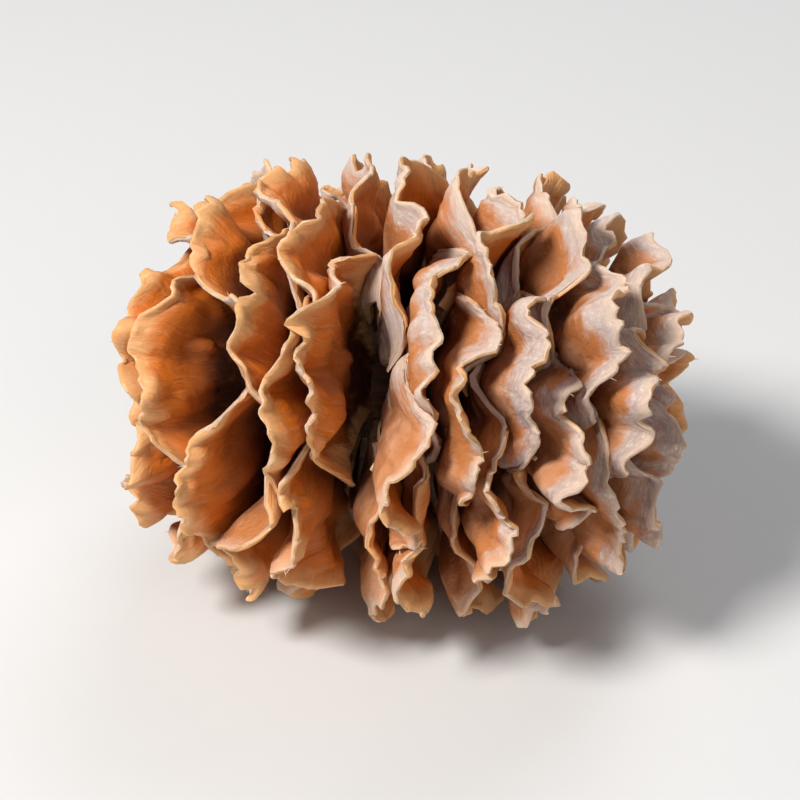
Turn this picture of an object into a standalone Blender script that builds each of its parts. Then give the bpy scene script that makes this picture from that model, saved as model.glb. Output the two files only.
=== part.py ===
"""A dry, open larch cone lying on its side.

The cone's axis runs along X with the tip at +X and the broken stalk at -X, and +Z is up.
The woody scales stand on the axis in one spiral, each turned by the golden angle from the one before.
Every scale is a thin fan-shaped blade with a ruffled margin, cupped towards the tip.
On the stalk's half the margins also roll back.
The scales and the axis grew as one piece, so they are joined into one solid.
The lowest margins are worn flat where the cone rests, and the origin is under the middle of its box.
Lengths are in metres and angles in radians.
"""

import math
import random

import bmesh
import bpy
import numpy as np
from mathutils import Matrix

PART_NAME = "larch_cone"

# Outline that the scales' margins reach: a barrel with blunt ends, a pit round the stalk and a dimpled tip
CONE_LENGTH = 0.0316
CONE_WIDTH = 0.0252
BASE_POWER = 3.2
TIP_POWER = 2.4
STALK_PIT = 0.0030
STALK_PIT_RADIUS = 0.0040
TIP_DIMPLE = 0.0012
TIP_DIMPLE_RADIUS = 0.0030

# Place of the axis, which beds the lowest margins in the ground and centres the box over the origin
AXIS_HEIGHT = 0.0118
AXIS_SHIFT = (-0.00004, 0.00046)
GROUND_SIZE = 0.060
GROUND_DEPTH = 0.010

# Spiral of scales, which crowd towards the tip
SCALE_COUNT = 71
GOLDEN_ANGLE = math.pi * (3.0 - math.sqrt(5.0))
FIRST_TURN = math.radians(168.0)
FIRST_MARGIN = math.radians(8.0)
LAST_MARGIN = math.radians(177.0)
BASE_CROWDING = 1.0
TIP_CROWDING = 0.50
OUTLINE_STEPS = 2000

# Scales that stand off the even spiral, by index: lean towards the tip and turn, in degrees
NUDGES = {
    8: (1.0, 0.0),
    11: (3.0, 0.0),
    13: (4.0, 2.0),
    16: (9.0, -3.0),
    21: (6.0, 2.0),
    29: (-4.0, 3.0),
    34: (7.0, 1.0),
    37: (4.0, 5.0),
    42: (3.0, 0.0),
}

# Woody axis and what is left of the stalk
AXIS_BASE_X = -0.0100
AXIS_TIP_X = 0.0090
ROOT_CROWDING = 0.95
AXIS_RADIUS = 0.0034
AXIS_TIP_RADIUS = 0.0018
AXIS_BASE_TAPER = 0.0016
AXIS_TIP_TAPER = 0.0012
STALK_RADIUS = 0.0013
STALK_END_X = -0.0142
AXIS_SIDES = 12

# One scale: a fan-shaped blade, which is full-sized from a certain reach on
BLADE_WIDTH = 0.0128
BLADE_THICKNESS = 0.00062
SIZE_RAMP = (-0.0020, 0.0100)
ROOT_SHARE = 0.16
ROOT_SINK = 0.0009
FAN_END = 0.85
MARGIN_ARCH = 0.19
ARCH_POWER = 2.2

# Bend of the blade along its length, the roll of its margin, and where along the cone both turn over
BASE_BEND = math.radians(10.0)
TIP_BEND = math.radians(-24.0)
BASE_CURL = math.radians(38.0)
TIP_CURL = math.radians(6.0)
CURL_REACH = (0.70, 1.12)
TURNOVER = (0.29, 0.40)

# Cup and ruffles across the blade, and how tightly a blade may wrap the axis
CUP = 0.0022
CUP_POWER = 1.5
CUP_LEVEL = 0.3
RUFFLE = 0.00075
RUFFLE_REACH = (0.35, 1.0)
RUFFLES_AROUND = 12.0
WRAP_RADIUS = 0.0012
WRAP_SHARE = 0.45

# The most that single scales stray from the rule, as a share of each value or an angle
SEED = "larch"
STRAY = {
    "turn": math.radians(4.0),
    "lean": math.radians(2.0),
    "reach": 0.03,
    "width": 0.10,
    "ruffle": 0.35,
    "waves": 0.12,
    "phase": 1.1,
    "cup": 0.35,
    "curl": 0.35,
    "skew": 0.10,
}

# Blade mesh: width of a cell at the margin, and each row's place along the blade and share of those cells
CELL_WIDTH = 0.0019
ROWS_ALONG = (0.0, 0.40, 0.74, 1.0)
ROW_SHARES = (0.0, 0.0, 0.5, 1.0)
PATH_STEPS = 40
WELD_DISTANCE = 0.00001

# Dry scale wood
WOOD_COLOUR = (0.45, 0.25, 0.12)
WOOD_ROUGHNESS = 0.70


def stray(index, trait):
    """A repeatable stray of one trait of one scale."""
    return STRAY[trait] * random.Random(f"{SEED} {index} {trait}").uniform(-1.0, 1.0)


def smooth(value, low, high):
    """Rises smoothly from 0 at low to 1 at high."""
    t = np.clip((value - low) / (high - low), 0.0, 1.0)
    return t * t * (3.0 - 2.0 * t)


def blend(low, high, share):
    return low + (high - low) * share


def barrel_point(latitude):
    """Distance along the axis and radius of the barrel, from the stalk end at 0 to the tip at pi."""
    cosine = np.cos(latitude)
    power = 2.0 / np.where(cosine > 0.0, BASE_POWER, TIP_POWER)
    x = -0.5 * CONE_LENGTH * np.sign(cosine) * np.abs(cosine) ** power
    r = 0.5 * CONE_WIDTH * np.abs(np.sin(latitude)) ** power
    pit = STALK_PIT * np.exp(-((r / STALK_PIT_RADIUS) ** 2))
    dimple = -TIP_DIMPLE * np.exp(-((r / TIP_DIMPLE_RADIUS) ** 2))
    return x + np.where(cosine > 0.0, pit, dimple), r


def margin_latitudes():
    """Latitudes of the scales' margins, which share the barrel's surface among them."""
    fine = np.linspace(FIRST_MARGIN, LAST_MARGIN, OUTLINE_STEPS)
    x, r = barrel_point(fine)
    girth = 0.5 * (r[1:] + r[:-1]) / (0.5 * CONE_WIDTH)
    crowding = np.where(x[1:] < 0.0, BASE_CROWDING, TIP_CROWDING)
    area = np.concatenate([[0.0], np.cumsum(np.hypot(np.diff(x), np.diff(r)) * girth**crowding)])
    shares = (np.arange(SCALE_COUNT) + 0.5) / SCALE_COUNT
    return np.interp(shares * area[-1], area, fine)


class Scale:
    """Where one scale stands on the spiral, and its own size and waves."""

    def __init__(self, index, latitude):
        share = (index + 0.5) / SCALE_COUNT
        lean, turn = (math.radians(nudge) for nudge in NUDGES.get(index, (0.0, 0.0)))
        self.turn = FIRST_TURN - index * GOLDEN_ANGLE + stray(index, "turn") + turn
        self.root_x = blend(AXIS_BASE_X, AXIS_TIP_X, share**ROOT_CROWDING)
        self.root_r = blend(AXIS_RADIUS, AXIS_TIP_RADIUS, share) - ROOT_SINK
        margin_x, margin_r = barrel_point(latitude + stray(index, "lean") + lean)
        margin_r *= 1.0 + stray(index, "reach")
        self.chord = math.hypot(margin_x - self.root_x, margin_r - self.root_r)
        self.angle = math.atan2(margin_r - self.root_r, margin_x - self.root_x)
        turned = smooth(share, *TURNOVER)
        self.bend = blend(BASE_BEND, TIP_BEND, 0.5 * (turned + share))
        self.curl = blend(BASE_CURL, TIP_CURL, turned) * (1.0 + stray(index, "curl"))
        size = smooth(margin_r, *SIZE_RAMP)
        self.width = BLADE_WIDTH * size * (1.0 + stray(index, "width"))
        self.cup = CUP * size * (1.0 + stray(index, "cup"))
        self.ruffle = RUFFLE * size * (1.0 + stray(index, "ruffle"))
        self.waves = RUFFLES_AROUND * (1.0 + stray(index, "waves"))
        self.phase = RUFFLES_AROUND * self.turn + stray(index, "phase")
        self.skew = stray(index, "skew")
        self.path = self.trace()

    def trace(self):
        """The blade's middle line: distance along the axis, radius and heading at even steps."""
        s = np.linspace(0.0, 1.0, PATH_STEPS + 1)
        length = self.chord * self.bend / math.sin(self.bend)
        heading = self.angle + self.bend * (2.0 * s - 1.0) + self.curl * smooth(s, *CURL_REACH)
        middle = 0.5 * (heading[1:] + heading[:-1])
        x = self.root_x + np.concatenate([[0.0], np.cumsum(np.cos(middle))]) * length / PATH_STEPS
        r = self.root_r + np.concatenate([[0.0], np.cumsum(np.sin(middle))]) * length / PATH_STEPS
        return s, x, r, heading


def blade_point(scale, u, v):
    """A point of the scale's middle sheet: u runs across from -1 to 1, and v from root to margin."""
    steps, path_x, path_r, path_heading = scale.path
    s = np.clip(v * (1.0 - MARGIN_ARCH * np.abs(u) ** ARCH_POWER * v + scale.skew * u * v), 0.0, 1.0)
    x = np.interp(s, steps, path_x)
    r = np.interp(s, steps, path_r)
    heading = np.interp(s, steps, path_heading)
    spread = blend(ROOT_SHARE, 1.0, np.clip(v / FAN_END, 0.0, 1.0))
    sideways = 0.5 * scale.width * spread * u
    around = sideways / np.maximum(r, WRAP_SHARE * np.abs(sideways) + WRAP_RADIUS)
    wave = np.sin(scale.waves * around + scale.phase)
    lift = scale.ruffle * smooth(v, *RUFFLE_REACH) * wave + scale.cup * v**CUP_POWER * (u * u - CUP_LEVEL)
    x = x + lift * np.sin(heading)
    r = r - lift * np.cos(heading)
    return np.stack([x, r * np.cos(scale.turn + around), r * np.sin(scale.turn + around)], axis=-1)


def clear_scene():
    for old in list(bpy.data.objects):
        bpy.data.objects.remove(old, do_unlink=True)


def new_collection(name):
    made = bpy.data.collections.new(name)
    bpy.context.scene.collection.children.link(made)
    return made


def new_object(name, form, collection):
    """An object of the shape in form, which is freed."""
    mesh = bpy.data.meshes.new(name)
    form.to_mesh(mesh)
    form.free()
    made = bpy.data.objects.new(name, mesh)
    collection.objects.link(made)
    return made


def blade_object(scale, name, collection):
    """A scale as a triangulated sheet that Solidify thickens, so both faces are split alike."""
    half_cells = max(1, round(0.5 * scale.width / CELL_WIDTH))
    rows = len(ROWS_ALONG) - 1
    form = bmesh.new()
    bmesh.ops.create_grid(form, x_segments=2 * half_cells, y_segments=rows, size=1.0)
    for vertex in form.verts:
        row = round((vertex.co.y + 1.0) * 0.5 * rows)
        row_cells = max(1, round(half_cells * ROW_SHARES[row]))
        across = np.round(vertex.co.x * row_cells) / row_cells
        vertex.co = blade_point(scale, across, ROWS_ALONG[row])
    bmesh.ops.remove_doubles(form, verts=form.verts[:], dist=WELD_DISTANCE)
    bmesh.ops.triangulate(form, faces=form.faces[:])
    made = new_object(name, form, collection)
    wall = made.modifiers.new("wall", "SOLIDIFY")
    wall.thickness = BLADE_THICKNESS
    wall.offset = 0.0
    return made


def axis_object(collection):
    """The woody axis: a tapering rod that runs on into the stub of the stalk."""
    stations = (
        (STALK_END_X, STALK_RADIUS),
        (AXIS_BASE_X - AXIS_BASE_TAPER, STALK_RADIUS),
        (AXIS_BASE_X, AXIS_RADIUS),
        (AXIS_TIP_X, AXIS_TIP_RADIUS),
        (AXIS_TIP_X + AXIS_TIP_TAPER, 0.5 * AXIS_TIP_RADIUS),
    )
    form = bmesh.new()
    rings = []
    for x, radius in stations:
        turned = Matrix.Translation((x, 0.0, 0.0)) @ Matrix.Rotation(0.5 * math.pi, 4, "Y")
        ring = bmesh.ops.create_circle(form, segments=AXIS_SIDES, radius=radius, matrix=turned)
        rings.append(ring["verts"])
    for near, far in zip(rings, rings[1:]):
        for k in range(AXIS_SIDES):
            after = (k + 1) % AXIS_SIDES
            form.faces.new((near[k], near[after], far[after], far[k]))
    form.faces.new(rings[0])
    form.faces.new(rings[-1])
    bmesh.ops.recalc_face_normals(form, faces=form.faces[:])
    return new_object(PART_NAME, form, collection)


def ground_object(collection):
    """A block under z = 0 that cuts the lowest margins flat."""
    form = bmesh.new()
    place = Matrix.Translation((0.0, 0.0, -0.5 * GROUND_DEPTH))
    size = Matrix.Diagonal((GROUND_SIZE, GROUND_SIZE, GROUND_DEPTH, 1.0))
    bmesh.ops.create_cube(form, size=1.0, matrix=place @ size)
    made = new_object("ground", form, collection)
    made.hide_render = True
    made.display_type = "WIRE"
    return made


def wood():
    made = bpy.data.materials.new("dry_scale_wood")
    made.use_nodes = True
    surface = made.node_tree.nodes["Principled BSDF"]
    surface.inputs["Base Color"].default_value = (*WOOD_COLOUR, 1.0)
    surface.inputs["Roughness"].default_value = WOOD_ROUGHNESS
    surface.inputs["Metallic"].default_value = 0.0
    return made


def apply_modifier(obj, name):
    bpy.context.view_layer.objects.active = obj
    bpy.ops.object.modifier_apply(modifier=name)


def join_collection(obj, collection):
    """Joins a collection's objects to obj in one solid, and removes them."""
    joined = obj.modifiers.new("joined", "BOOLEAN")
    joined.operation = "UNION"
    joined.operand_type = "COLLECTION"
    joined.collection = collection
    joined.solver = "EXACT"
    apply_modifier(obj, joined.name)
    for used in list(collection.objects):
        bpy.data.objects.remove(used, do_unlink=True)


def cut(obj, cutter):
    """Cuts the cutter's solid from obj, and removes the cutter."""
    taken = obj.modifiers.new("cut", "BOOLEAN")
    taken.operation = "DIFFERENCE"
    taken.object = cutter
    taken.solver = "EXACT"
    apply_modifier(obj, taken.name)
    bpy.data.objects.remove(cutter, do_unlink=True)


def keep_outer_shell(obj):
    """Fills the pockets that crossing blades seal in, by dropping every shell but the largest."""
    form = bmesh.new()
    form.from_mesh(obj.data)
    shells = []
    waiting = set(form.verts)
    while waiting:
        reached = [waiting.pop()]
        for vertex in reached:
            beside = {edge.other_vert(vertex) for edge in vertex.link_edges} & waiting
            waiting -= beside
            reached.extend(beside)
        shells.append(reached)
    shells.sort(key=len)
    pockets = [vertex for shell in shells[:-1] for vertex in shell]
    bmesh.ops.delete(form, geom=pockets, context="VERTS")
    form.to_mesh(obj.data)
    form.free()


def build():
    clear_scene()
    part = new_collection(PART_NAME)
    blades = new_collection("scales")
    cutters = new_collection("cutters")
    cone = axis_object(part)
    for index, latitude in enumerate(margin_latitudes()):
        blade_object(Scale(index, latitude), f"scale_{index:02d}", blades)
    join_collection(cone, blades)
    cone.data.transform(Matrix.Translation((*AXIS_SHIFT, AXIS_HEIGHT)))
    cut(cone, ground_object(cutters))
    keep_outer_shell(cone)
    cone.data.materials.clear()
    cone.data.materials.append(wood())


build()
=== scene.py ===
"""Finishes a dry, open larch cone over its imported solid.

The solid holds the cone's size and form: its axis along X with the stalk at -X, and its scales in one spiral.
This script repeats the rule that places the scales, and models each again as a thin woody blade with a rounded,
frayed and crinkled margin. It adds the axis, the broken stalk, the small scales at both ends and the bracts.
Lengths are in metres and angles in radians.
"""

import math
import random

import bpy
import numpy as np
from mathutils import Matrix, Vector


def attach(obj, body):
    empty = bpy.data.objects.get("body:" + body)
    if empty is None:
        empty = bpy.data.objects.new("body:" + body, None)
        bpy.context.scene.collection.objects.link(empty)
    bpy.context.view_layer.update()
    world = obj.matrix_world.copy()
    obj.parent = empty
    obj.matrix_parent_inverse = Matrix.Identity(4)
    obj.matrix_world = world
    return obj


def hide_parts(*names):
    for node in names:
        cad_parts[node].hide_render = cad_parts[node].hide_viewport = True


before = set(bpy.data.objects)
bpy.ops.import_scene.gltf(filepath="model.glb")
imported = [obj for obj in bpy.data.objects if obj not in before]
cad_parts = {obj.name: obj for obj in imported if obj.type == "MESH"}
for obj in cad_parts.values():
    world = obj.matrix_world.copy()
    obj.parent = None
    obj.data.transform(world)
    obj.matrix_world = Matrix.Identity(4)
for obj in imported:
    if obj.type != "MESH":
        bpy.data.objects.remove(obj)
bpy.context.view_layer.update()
CONE_NODE = "larch_cone"

bl_info = {
    "name": "Larch cone",
    "version": (1, 0, 0),
    "blender": (4, 5, 0),
    "location": "View3D > Sidebar > Larch cone",
    "description": "Models the scales, axis, stalk and bracts of an open larch cone",
    "category": "Add Mesh",
}

MM = 0.001

# Outline that the scales' margins reach, and the place of the axis, as in the solid
CONE_LENGTH = 0.0316
CONE_WIDTH = 0.0252
BASE_POWER = 3.2
TIP_POWER = 2.4
STALK_PIT = 0.0030
STALK_PIT_RADIUS = 0.0040
TIP_DIMPLE = 0.0012
TIP_DIMPLE_RADIUS = 0.0030
AXIS_HEIGHT = 0.0118
AXIS_SHIFT = (-0.00004, 0.00046)

# Spiral of scales, as in the solid
SCALE_COUNT = 71
GOLDEN_ANGLE = math.pi * (3.0 - math.sqrt(5.0))
FIRST_TURN = math.radians(168.0)
FIRST_MARGIN = math.radians(8.0)
LAST_MARGIN = math.radians(177.0)
BASE_CROWDING = 1.0
TIP_CROWDING = 0.50
OUTLINE_STEPS = 2000

# Woody axis and stalk, as in the solid
AXIS_BASE_X = -0.0100
AXIS_TIP_X = 0.0090
ROOT_CROWDING = 0.95
AXIS_RADIUS = 0.0034
AXIS_TIP_RADIUS = 0.0018
STALK_RADIUS = 0.0013

# Form of one scale, as in the solid
BLADE_WIDTH = 0.0128
SIZE_RAMP = (-0.0020, 0.0100)
ROOT_SHARE = 0.16
ROOT_SINK = 0.0009
MARGIN_ARCH = 0.19
ARCH_POWER = 2.2
BASE_BEND = math.radians(10.0)
TIP_BEND = math.radians(-24.0)
BASE_CURL = math.radians(38.0)
TIP_CURL = math.radians(6.0)
CURL_REACH = (0.70, 1.12)
TURNOVER = (0.29, 0.40)
CUP = 0.0022
CUP_POWER = 1.5
CUP_LEVEL = 0.3
RUFFLE = 0.00075
RUFFLE_REACH = (0.35, 1.0)
RUFFLES_AROUND = 12.0
WRAP_RADIUS = 0.0012
WRAP_SHARE = 0.45
SEED = "larch"
STRAY = {
    "turn": math.radians(4.0),
    "lean": math.radians(2.0),
    "reach": 0.03,
    "width": 0.10,
    "ruffle": 0.35,
    "waves": 0.12,
    "phase": 1.1,
    "cup": 0.35,
    "curl": 0.35,
    "skew": 0.10,
}

# Scales that stand off the even spiral, by index: lean towards the tip and turn, in degrees
NUDGES = {
    8: (1.0, 0.0),
    11: (3.0, 0.0),
    13: (4.0, 2.0),
    16: (9.0, -3.0),
    21: (6.0, 2.0),
    29: (-4.0, 3.0),
    34: (7.0, 1.0),
    37: (4.0, 5.0),
    42: (3.0, 0.0),
}

# Finer form of one scale
FAN_REACH = 0.95
FAN_POWER = 1.5
SHOULDER = 0.27
FRAYING_POWER = 5.0
NOTCHES = 4
NOTCH_WIDTH = 0.00030
CRINKLE_REACH = (0.55, 1.0)
PLEAT_SHARE = 0.35
CRUMPLE_REACH = (0.72, 1.0)
CRUMPLE_SHARE = 0.8
BLADE_COLUMNS = 62
BLADE_ROWS = 38
SMALL_COLUMNS = 20
SMALL_ROWS = 18
EDGE_CELLS = 3
EDGE_SHARE = 0.030
LEAST_ROUNDING = 0.45
WALL_LEVELS = 200
PATH_STEPS = 160
PATH_REACH = 1.06
SCALE_GROUPS = 6
GROUP_SIZE = math.ceil(SCALE_COUNT / SCALE_GROUPS)
BASE_SCALE_COUNT = 13
TIP_SCALE_COUNT = 7
SETTLE_HEIGHT = 0.0008
LOWEST_MARGIN = -0.0018
SMOOTH_ANGLE = math.radians(50.0)

# Map on which crossing scales are found, and how they give way
MAP_ANGLE = math.radians(2.0)
MAP_DIRECTIONS = 180
MAP_STEP = 0.00035
MAP_DISTANCES = 44
BLADE_GAP = 0.00055
PUSH_REACH = (0.15, 0.55)
PUSH_STEP = 0.0004
PUSH_SOFTENING = 3
PUSH_ROUNDS = 10
MOST_PUSH = 0.0011

# Bracts, axis and stalk
BRACT_COLUMNS = 6
BRACT_ROWS = 20
BRACT_GAP = 0.00050
BRACT_THICKNESS = 0.00014
AXIS_SIDES = 40
AXIS_STATIONS = (
    (-0.0122, 0.0013),
    (-0.0116, 0.0017),
    (-0.0100, 0.0034),
    (-0.0070, 0.0033),
    (-0.0040, 0.0030),
    (-0.0010, 0.0028),
    (0.0020, 0.0026),
    (0.0050, 0.0023),
    (0.0075, 0.0020),
    (0.0090, 0.0018),
    (0.0102, 0.0009),
)
AXIS_ROUGHNESS = 0.00015
AXIS_BUMP_LENGTH = 1.2
STUB_SIDES = 36
SPLINTERS = 26

# Stiff fibres at the margins
MOST_FIBRES = 4
FIBRE_LENGTHS = (0.00022, 0.00055)
FIBRE_RADII = (0.000025, 0.000055)
FIBRE_SINK = 0.00012

# Floor, lights and camera
AIM = Vector((-0.0006, 0.0, 0.0112))
CAMERA_AZIMUTH = 9.0
CAMERA_ELEVATION = 35.0
CAMERA_LENS = 100.0
CAMERA_DISTANCE = 0.1215
FLOOR_RADIUS = 1.5
SKY_STRENGTH = 0.13
LIGHTS = (
    ("key_light", -50.0, 52.0, 0.30, 0.09, 1.05, (1.0, 0.96, 0.91)),
    ("fill_light", 40.0, 35.0, 0.40, 0.30, 0.26, (1.0, 0.97, 0.94)),
    ("back_light", 165.0, 45.0, 0.40, 0.25, 0.5, (0.95, 0.97, 1.0)),
)


def bunched(cells, low):
    """Even places from low to 1 with the outermost cells drawn close to the free edges."""
    even = np.linspace(low, 1.0, cells + 1)
    inner = (1.0 - low) * EDGE_CELLS / cells
    if low < 0.0:
        return np.interp(even, [low, low + inner, 1.0 - inner, 1.0], [-1.0, -1.0 + EDGE_SHARE, 1.0 - EDGE_SHARE, 1.0])
    return np.interp(even, [low, 1.0 - inner, 1.0], [low, 1.0 - EDGE_SHARE, 1.0])


COLUMN_PLACES = bunched(BLADE_COLUMNS, -1.0)
ROW_PLACES = bunched(BLADE_ROWS, 0.0)


def stray(index, trait):
    """A repeatable stray of one trait of one scale, the same as the solid's."""
    return STRAY[trait] * random.Random(f"{SEED} {index} {trait}").uniform(-1.0, 1.0)


def fine_draw(name, trait):
    """A repeatable number from 0 to 1 for one trait that only the fine pieces have."""
    return random.Random(f"fine {name} {trait}").random()


def smooth(value, low, high):
    """Rises smoothly from 0 at low to 1 at high."""
    t = np.clip((value - low) / (high - low), 0.0, 1.0)
    return t * t * (3.0 - 2.0 * t)


def blend(low, high, share):
    return low + (high - low) * share


def barrel_point(latitude):
    """Distance along the axis and radius of the barrel, from the stalk end at 0 to the tip at pi."""
    cosine = np.cos(latitude)
    power = 2.0 / np.where(cosine > 0.0, BASE_POWER, TIP_POWER)
    x = -0.5 * CONE_LENGTH * np.sign(cosine) * np.abs(cosine) ** power
    r = 0.5 * CONE_WIDTH * np.abs(np.sin(latitude)) ** power
    pit = STALK_PIT * np.exp(-((r / STALK_PIT_RADIUS) ** 2))
    dimple = -TIP_DIMPLE * np.exp(-((r / TIP_DIMPLE_RADIUS) ** 2))
    return x + np.where(cosine > 0.0, pit, dimple), r


def margin_latitudes():
    """Latitudes of the scales' margins, which share the barrel's surface among them."""
    fine = np.linspace(FIRST_MARGIN, LAST_MARGIN, OUTLINE_STEPS)
    x, r = barrel_point(fine)
    girth = 0.5 * (r[1:] + r[:-1]) / (0.5 * CONE_WIDTH)
    crowding = np.where(x[1:] < 0.0, BASE_CROWDING, TIP_CROWDING)
    area = np.concatenate([[0.0], np.cumsum(np.hypot(np.diff(x), np.diff(r)) * girth**crowding)])
    shares = (np.arange(SCALE_COUNT) + 0.5) / SCALE_COUNT
    return np.interp(shares * area[-1], area, fine)


class Waves:
    """A repeatable sum of plane waves over a sheet, between about -1 and 1."""

    def __init__(self, name, count, shortest, longest, along_share=1.0):
        draws = random.Random(name)
        self.parts = []
        for _ in range(count):
            number = 2.0 * math.pi / draws.uniform(shortest, longest)
            heading = draws.uniform(0.0, math.pi)
            across = number * math.cos(heading)
            along = number * math.sin(heading) * along_share
            self.parts.append((across, along, draws.uniform(0.0, 2.0 * math.pi)))

    def at(self, across, along):
        total = sum(np.sin(a * across + b * along + phase) for a, b, phase in self.parts)
        return total / math.sqrt(len(self.parts))


def full_path(root_x, root_r, length, angle, bend, curl):
    """A blade's middle line: share of its length, distance along the axis, radius and heading at even steps."""
    s = np.linspace(0.0, PATH_REACH, PATH_STEPS + 1)
    heading = angle + bend * (2.0 * s - 1.0) + curl * smooth(s, *CURL_REACH)
    middle = 0.5 * (heading[1:] + heading[:-1])
    step = length * PATH_REACH / PATH_STEPS
    x = root_x + np.concatenate([[0.0], np.cumsum(np.cos(middle))]) * step
    r = root_r + np.concatenate([[0.0], np.cumsum(np.sin(middle))]) * step
    return s, x, r, heading


class Scale:
    """Where one scale stands on the spiral, and its own size and waves, by the solid's own rule."""

    def __init__(self, index, latitude):
        share = (index + 0.5) / SCALE_COUNT
        self.name = f"scale {index}"
        self.index = index
        lean, turn = (math.radians(nudge) for nudge in NUDGES.get(index, (0.0, 0.0)))
        self.turn = FIRST_TURN - index * GOLDEN_ANGLE + stray(index, "turn") + turn
        self.root_x = blend(AXIS_BASE_X, AXIS_TIP_X, share**ROOT_CROWDING)
        self.root_r = blend(AXIS_RADIUS, AXIS_TIP_RADIUS, share) - ROOT_SINK
        margin_x, margin_r = barrel_point(latitude + stray(index, "lean") + lean)
        margin_r *= 1.0 + stray(index, "reach")
        chord = math.hypot(margin_x - self.root_x, margin_r - self.root_r)
        angle = math.atan2(margin_r - self.root_r, margin_x - self.root_x)
        self.turned = float(smooth(share, *TURNOVER))
        bend = blend(BASE_BEND, TIP_BEND, 0.5 * (self.turned + share))
        curl = blend(BASE_CURL, TIP_CURL, self.turned) * (1.0 + stray(index, "curl"))
        self.size = float(smooth(margin_r, *SIZE_RAMP))
        self.width = BLADE_WIDTH * self.size * (1.0 + stray(index, "width"))
        self.cup = CUP * self.size * (1.0 + stray(index, "cup"))
        self.ruffle = RUFFLE * self.size * (1.0 + stray(index, "ruffle"))
        self.waves = RUFFLES_AROUND * (1.0 + stray(index, "waves"))
        self.phase = RUFFLES_AROUND * self.turn + stray(index, "phase")
        self.skew = stray(index, "skew")
        self.length = chord * bend / math.sin(bend)
        self.path = full_path(self.root_x, self.root_r, self.length, angle, bend, curl)
        self.pushed = None


class SmallScale:
    """One of the small crowded scales at an end of the cone, between a root and a margin that are given."""

    def __init__(self, name, turn, root, margin, width, bend):
        self.name = name
        self.turn = turn
        chord = math.hypot(margin[0] - root[0], margin[1] - root[1])
        angle = math.atan2(margin[1] - root[1], margin[0] - root[0])
        self.turned = 1.0
        self.size = width / BLADE_WIDTH
        self.width = width
        self.cup = CUP * self.size
        self.ruffle = RUFFLE * self.size
        self.waves = RUFFLES_AROUND
        self.phase = 2.0 * math.pi * fine_draw(name, "phase")
        self.skew = STRAY["skew"] * (2.0 * fine_draw(name, "skew") - 1.0)
        self.length = chord * bend / math.sin(bend)
        self.path = full_path(root[0], root[1], self.length, angle, bend, 0.0)
        self.pushed = None


PARTED = {}


def cone_scales(sizes):
    """The scales of the spiral, pushed apart once for each set of sizes."""
    key = tuple(getattr(sizes, name) for name in LarchConeSizes.__annotations__)
    if key not in PARTED:
        PARTED[key] = [Scale(index, latitude) for index, latitude in enumerate(margin_latitudes())]
        part_scales(PARTED[key], sizes)
    return PARTED[key]


def base_scales():
    """The small scales that crowd round the stalk."""
    scales = []
    for index in range(BASE_SCALE_COUNT):
        share = index / (BASE_SCALE_COUNT - 1)
        name = f"base scale {index}"
        turn = FIRST_TURN + (index + 1) * GOLDEN_ANGLE
        root = (blend(-0.0100, -0.0112, share), blend(0.0020, 0.0009, share))
        margin_r = blend(0.0034, 0.0019, share) * (0.92 + 0.16 * fine_draw(name, "reach"))
        margin_x = blend(-0.0134, -0.0129, share) + 0.0006 * (fine_draw(name, "lean") - 0.5)
        width = blend(0.0030, 0.0017, share) * (0.85 + 0.3 * fine_draw(name, "width"))
        scales.append(SmallScale(name, turn, root, (margin_x, margin_r), width, math.radians(20.0)))
    return scales


def tip_scales():
    """The small scales that close the tip."""
    scales = []
    for index in range(TIP_SCALE_COUNT):
        share = index / (TIP_SCALE_COUNT - 1)
        name = f"tip scale {index}"
        turn = FIRST_TURN - (SCALE_COUNT + index) * GOLDEN_ANGLE
        root = (blend(0.0090, 0.0098, share), blend(0.0010, 0.0003, share))
        margin_r = blend(0.0015, 0.0005, share) * (0.85 + 0.3 * fine_draw(name, "reach"))
        margin_x = blend(0.0141, 0.0132, share) + 0.0006 * (fine_draw(name, "lean") - 0.5)
        width = blend(0.0026, 0.0015, share) * (0.85 + 0.3 * fine_draw(name, "width"))
        scales.append(SmallScale(name, turn, root, (margin_x, margin_r), width, math.radians(-16.0)))
    return scales


def sheet_shares(sheet, columns, rows):
    """Share across from -1 to 1 and share along from 0 to 1 of each point of a flat sheet of cells."""
    flat = np.empty(len(sheet.vertices) * 3)
    sheet.vertices.foreach_get("co", flat)
    flat = flat.reshape(-1, 3)
    column = np.rint((flat[:, 0] + 1.0) * 0.5 * columns).astype(int)
    row = np.rint((flat[:, 1] + 1.0) * 0.5 * rows).astype(int)
    return bunched(columns, -1.0)[column], bunched(rows, 0.0)[row]


def wrap(sideways, r):
    """Angle round the axis at a distance sideways along a blade, which wraps the axis only so tightly."""
    return sideways / np.maximum(r, WRAP_SHARE * np.abs(sideways) + WRAP_RADIUS)


def fan_spread(v):
    """Share of the full width that the fan has at each place along it."""
    return blend(ROOT_SHARE, 1.0, 1.0 - (1.0 - np.clip(v / FAN_REACH, 0.0, 1.0)) ** FAN_POWER)


def outline_arch(u):
    """Share of the length by which the fan's margin falls back towards its sides."""
    return MARGIN_ARCH * np.abs(u) ** ARCH_POWER + SHOULDER * (1.0 - np.sqrt(np.clip(1.0 - u * u, 0.0, 1.0)))


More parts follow.
